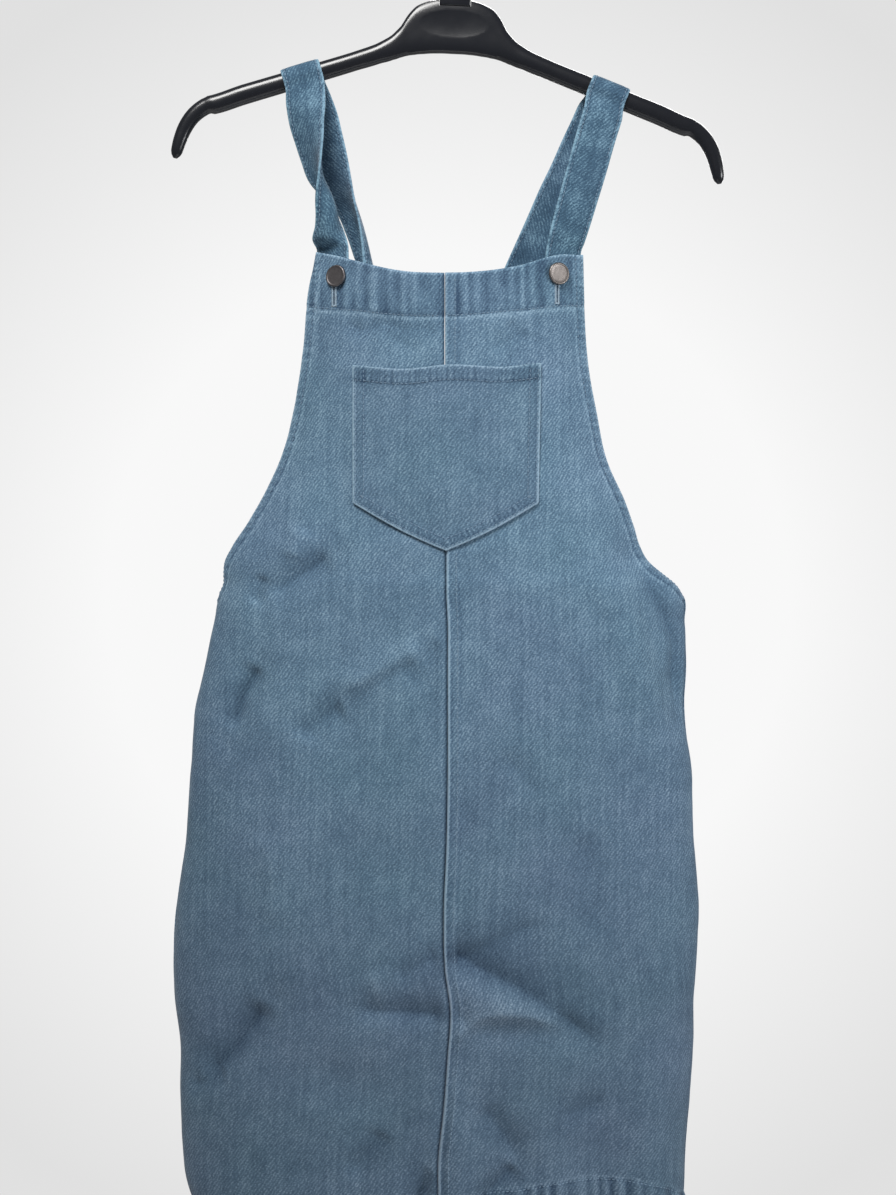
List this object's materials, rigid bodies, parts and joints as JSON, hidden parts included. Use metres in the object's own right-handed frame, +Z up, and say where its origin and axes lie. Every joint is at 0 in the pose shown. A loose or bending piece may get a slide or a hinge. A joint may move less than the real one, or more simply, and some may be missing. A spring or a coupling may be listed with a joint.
{
  "type": "denim dungaree dress on a hanger",
  "caption": "Sleeveless denim dungaree dress with a bib, a pointed chest pocket and buttoned straps, hanging on a moulded plastic hanger.",
  "frame": {"origin": "the inside top of the hanger's hook, where a rail or peg carries it", "axes": "+X to the right as the dress is seen from the front, +Z up, the front faces -Y"},
  "size_m": [0.4267, 0.0964, 1.0132],
  "materials": {
    "denim": "washed light blue twill, matte",
    "button_metal": "dark gunmetal, satin",
    "hanger_plastic": "moulded black, gloss"
  },
  "bodies": {
    "root": {"front_left": "denim", "front_right": "denim", "back": "denim", "chest_pocket": "denim", "strap_left": "denim", "strap_right": "denim", "button_left": "button_metal", "button_right": "button_metal", "hanger": "hanger_plastic", "hanger_hook": "hanger_plastic"}
  },
  "joints": []
}
